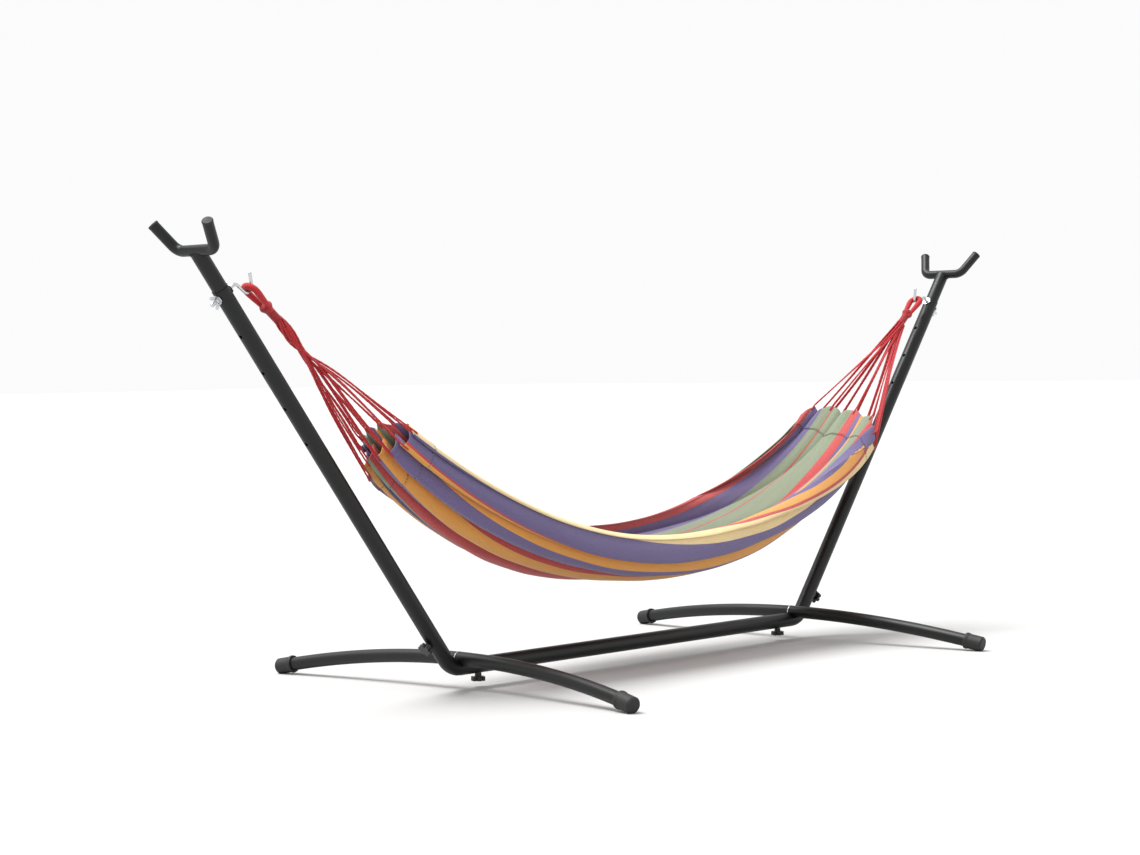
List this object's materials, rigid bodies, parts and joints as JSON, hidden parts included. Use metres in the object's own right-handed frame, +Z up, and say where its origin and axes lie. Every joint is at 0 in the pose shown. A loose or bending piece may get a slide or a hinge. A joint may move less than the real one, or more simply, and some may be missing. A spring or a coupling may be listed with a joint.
{
  "type": "hammock on stand",
  "caption": "Striped cloth hammock hung by fanned strings from two hooks on a steel tube stand with leaning forked posts, a low bar and arched feet.",
  "frame": {"origin": "on the ground, below the middle of the stand", "axes": "+X along the hammock towards the right post, +Y across it towards the back, +Z up"},
  "size_m": [2.885, 1.1572, 1.0608],
  "materials": {
    "powder_coat": "satin powder coat",
    "zinc_steel": "bright zinc plate",
    "cap_rubber": "matte",
    "plug_plastic": "matte",
    "knob_plastic": "satin",
    "cloth": "woven cotton blend in lengthwise stripes",
    "rope": "twisted cord",
    "whipping_cord": "tightly wound cord"
  },
  "bodies": {
    "stand": {"centre_bar": "powder_coat", "left_elbow": "powder_coat", "left_bar_sleeve": "zinc_steel", "left_post_sleeve": "zinc_steel", "left_post": "powder_coat", "left_fork": "powder_coat", "left_plug_front": "plug_plastic", "left_plug_back": "plug_plastic", "left_foot_front": "powder_coat", "left_foot_back": "powder_coat", "left_foot_core": "zinc_steel", "left_cap_front": "cap_rubber", "left_cap_back": "cap_rubber", "left_post_nut": "zinc_steel", "left_bar_nut": "zinc_steel", "left_hook": "zinc_steel", "left_inner_washer": "zinc_steel", "left_outer_washer": "zinc_steel", "right_elbow": "powder_coat", "right_bar_sleeve": "zinc_steel", "right_post_sleeve": "zinc_steel", "right_post": "powder_coat", "right_fork": "powder_coat", "right_plug_front": "plug_plastic", "right_plug_back": "plug_plastic", "right_foot_front": "powder_coat", "right_foot_back": "powder_coat", "right_foot_core": "zinc_steel", "right_cap_front": "cap_rubber", "right_cap_back": "cap_rubber", "right_post_nut": "zinc_steel", "right_bar_nut": "zinc_steel", "right_hook": "zinc_steel", "right_inner_washer": "zinc_steel", "right_outer_washer": "zinc_steel"},
    "left_post_knob": {"left_post_knob": "knob_plastic", "left_post_bolt": "zinc_steel"},
    "left_bar_knob": {"left_bar_knob": "knob_plastic", "left_bar_bolt": "zinc_steel"},
    "left_wing_nut": {"left_wing_nut": "zinc_steel"},
    "right_post_knob": {"right_post_knob": "knob_plastic", "right_post_bolt": "zinc_steel"},
    "right_bar_knob": {"right_bar_knob": "knob_plastic", "right_bar_bolt": "zinc_steel"},
    "right_wing_nut": {"right_wing_nut": "zinc_steel"},
    "hammock": {"hammock_bed": "cloth", "left_strings": "rope", "left_whipping": "whipping_cord", "left_eye": "rope", "right_strings": "rope", "right_whipping": "whipping_cord", "right_eye": "rope"}
  },
  "joints": [
    {"name": "hammock_swing", "type": "hinge", "parent": "stand", "child": "hammock", "pos_m": [0, 0, 0.91583], "axis": [1, 0, 0], "range_deg": [-28, 28]},
    {"name": "left_post_knob_turn", "type": "hinge", "parent": "stand", "child": "left_post_knob", "pos_m": [-0.71979, 0, 0.1234], "axis": [-0.7934, 0, -0.6088], "continuous": true},
    {"name": "left_bar_knob_turn", "type": "hinge", "parent": "stand", "child": "left_bar_knob", "pos_m": [-0.575, 0, 0.052], "axis": [0, 0, -1], "continuous": true},
    {"name": "left_wing_nut_turn", "type": "hinge", "parent": "stand", "child": "left_wing_nut", "pos_m": [-1.32003, 0, 0.90565], "axis": [-0.7934, 0, -0.6088], "continuous": true},
    {"name": "right_post_knob_turn", "type": "hinge", "parent": "stand", "child": "right_post_knob", "pos_m": [0.71979, 0, 0.1234], "axis": [0.7934, 0, -0.6088], "continuous": true},
    {"name": "right_bar_knob_turn", "type": "hinge", "parent": "stand", "child": "right_bar_knob", "pos_m": [0.575, 0, 0.052], "axis": [0, 0, -1], "continuous": true},
    {"name": "right_wing_nut_turn", "type": "hinge", "parent": "stand", "child": "right_wing_nut", "pos_m": [1.32003, 0, 0.90565], "axis": [0.7934, 0, -0.6088], "continuous": true}
  ]
}
